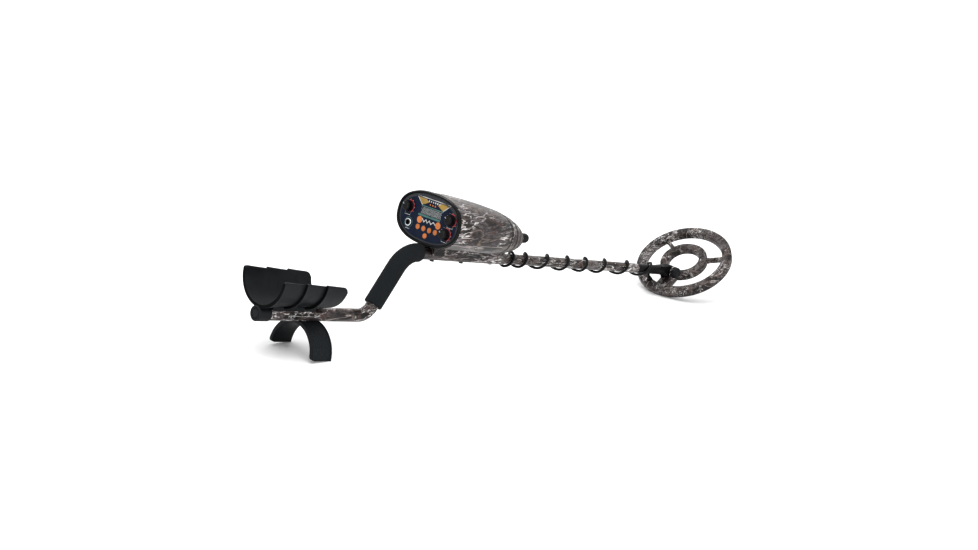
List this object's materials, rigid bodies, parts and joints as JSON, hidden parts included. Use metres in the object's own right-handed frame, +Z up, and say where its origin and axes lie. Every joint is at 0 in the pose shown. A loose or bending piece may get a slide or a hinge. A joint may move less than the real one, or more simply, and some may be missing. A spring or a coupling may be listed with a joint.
{
  "type": "metal detector",
  "caption": "Hand-held metal detector: arm cup and stand, bent two-piece shaft with foam grip, control box with dials and buttons, and a round tilting search coil with wound cable.",
  "frame": {"origin": "middle of the box's base, on the ground plane", "axes": "+X forward, from the arm cup to the search coil; +Y to the user's left; +Z up"},
  "size_m": [1.2432, 0.2032, 0.2493],
  "materials": {
    "camo_tube": "camouflage print on aluminium tube",
    "camo_housing": "camouflage print on moulded plastic",
    "black_plastic": "moulded black plastic, fine texture",
    "foam": "closed-cell foam sleeve",
    "panel_face": "printed dark blue overlay",
    "window": "clear acrylic",
    "display": "liquid crystal display",
    "board": "glass-fibre board",
    "orange_button": "smooth orange plastic",
    "knob_black": "black plastic with a white pointer",
    "steel": "plain steel",
    "black_steel": "blackened steel",
    "chrome": "plated",
    "battery_can": "printed steel can",
    "winding": "tape-wrapped copper wire",
    "rubber_black": "smooth black rubber",
    "stem_plastic": "glass-filled black plastic",
    "speaker_cone": "black cone and frame"
  },
  "bodies": {
    "detector": {"upper_shaft": "camo_tube", "middle_tube": "camo_tube", "tube_end_cap": "black_plastic", "foam_grip": "foam", "arm_cup": "black_plastic", "stand": "black_plastic", "armrest_bolt": "black_steel", "armrest_nut": "steel", "housing_shell": "camo_housing", "door_hinge_pin": "steel", "battery_tray": "black_plastic", "batteries": "battery_can", "battery_snaps": "black_plastic", "mount_saddle": "black_plastic", "housing_screws": "black_steel", "speaker": "speaker_cone", "front_bezel": "black_plastic", "control_panel": "panel_face", "lcd_window": "window", "lcd_module": "display", "circuit_board": "board", "keypad_board": "board", "potentiometers": "steel", "headphone_jack": "black_plastic", "jack_nut": "chrome", "coil_socket": "black_plastic", "coil_plug": "rubber_black", "coil_cable": "rubber_black", "shaft_button_spring": "steel"},
    "lower_stem": {"lower_stem": "stem_plastic", "stem_snap_spring": "steel", "stem_cable": "rubber_black", "cable_tail": "rubber_black", "pivot_washers": "rubber_black"},
    "coil": {"coil_shell": "camo_housing", "coil_cover": "black_plastic", "transmit_winding": "winding", "receive_winding": "winding", "coil_bolt": "stem_plastic", "cable_gland": "black_plastic"},
    "coil_knob": {"coil_knob": "black_plastic"},
    "shaft_button": {"shaft_button": "steel"},
    "battery_door": {"battery_door": "camo_housing"},
    "sensitivity_control": {"sensitivity_knob": "knob_black", "sensitivity_shaft": "steel"},
    "discrimination_control": {"discrimination_knob": "knob_black", "discrimination_shaft": "steel"},
    "notch_control": {"notch_knob": "knob_black", "notch_shaft": "steel"},
    "touch_button_1": {"touch_button_1": "orange_button"},
    "touch_button_2": {"touch_button_2": "orange_button"},
    "touch_button_3": {"touch_button_3": "orange_button"},
    "touch_button_4": {"touch_button_4": "orange_button"},
    "touch_button_5": {"touch_button_5": "orange_button"}
  },
  "joints": [
    {"name": "stem_slide", "type": "slide", "parent": "detector", "child": "lower_stem", "axis": [0.9922, 0, -0.1243], "range_m": [0, 0.18], "deforming": ["coil_cable", "stem_snap_spring"]},
    {"name": "coil_tilt", "type": "hinge", "parent": "lower_stem", "child": "coil", "pos_m": [0.48507, 0, 0.05141], "axis": [0, 1, 0], "range_deg": [-60, 43], "deforming": ["cable_tail"]},
    {"name": "coil_knob_turn", "type": "hinge", "parent": "coil", "child": "coil_knob", "pos_m": [0.48507, 0, 0.05141], "axis": [0, -1, 0], "continuous": true},
    {"name": "sensitivity_turn", "type": "hinge", "parent": "detector", "child": "sensitivity_control", "pos_m": [-0.26641, 0.049, 0.21512], "axis": [-0.9922, 0, 0.1243], "range_deg": [-150, 150]},
    {"name": "discrimination_turn", "type": "hinge", "parent": "detector", "child": "discrimination_control", "pos_m": [-0.26641, -0.051, 0.21512], "axis": [-0.9922, 0, 0.1243], "range_deg": [-150, 150]},
    {"name": "notch_turn", "type": "hinge", "parent": "detector", "child": "notch_control", "pos_m": [-0.26957, -0.0455, 0.18992], "axis": [-0.9922, 0, 0.1243], "range_deg": [-150, 150]},
    {"name": "touch_button_1_press", "type": "slide", "parent": "detector", "child": "touch_button_1", "axis": [0.9922, 0, -0.1243], "range_m": [0, 0.0008], "stiffness_N_per_m": 1500, "springref_m": -0.0004},
    {"name": "touch_button_2_press", "type": "slide", "parent": "detector", "child": "touch_button_2", "axis": [0.9922, 0, -0.1243], "range_m": [0, 0.0008], "stiffness_N_per_m": 1500, "springref_m": -0.0004},
    {"name": "touch_button_3_press", "type": "slide", "parent": "detector", "child": "touch_button_3", "axis": [0.9922, 0, -0.1243], "range_m": [0, 0.0008], "stiffness_N_per_m": 1500, "springref_m": -0.0004},
    {"name": "touch_button_4_press", "type": "slide", "parent": "detector", "child": "touch_button_4", "axis": [0.9922, 0, -0.1243], "range_m": [0, 0.0008], "stiffness_N_per_m": 1500, "springref_m": -0.0004},
    {"name": "touch_button_5_press", "type": "slide", "parent": "detector", "child": "touch_button_5", "axis": [0.9922, 0, -0.1243], "range_m": [0, 0.0008], "stiffness_N_per_m": 1500, "springref_m": -0.0004},
    {"name": "shaft_button_press", "type": "slide", "parent": "detector", "child": "shaft_button", "axis": [0.1243, 0, 0.9922], "range_m": [0, 0.0035], "stiffness_N_per_m": 1500, "springref_m": -0.003, "deforming": ["shaft_button_spring"]},
    {"name": "battery_door_hinge", "type": "hinge", "parent": "detector", "child": "battery_door", "pos_m": [-0.23273, 0.0694, 0.18067], "axis": [-0.9922, 0, 0.1243], "range_deg": [0, 110]}
  ]
}
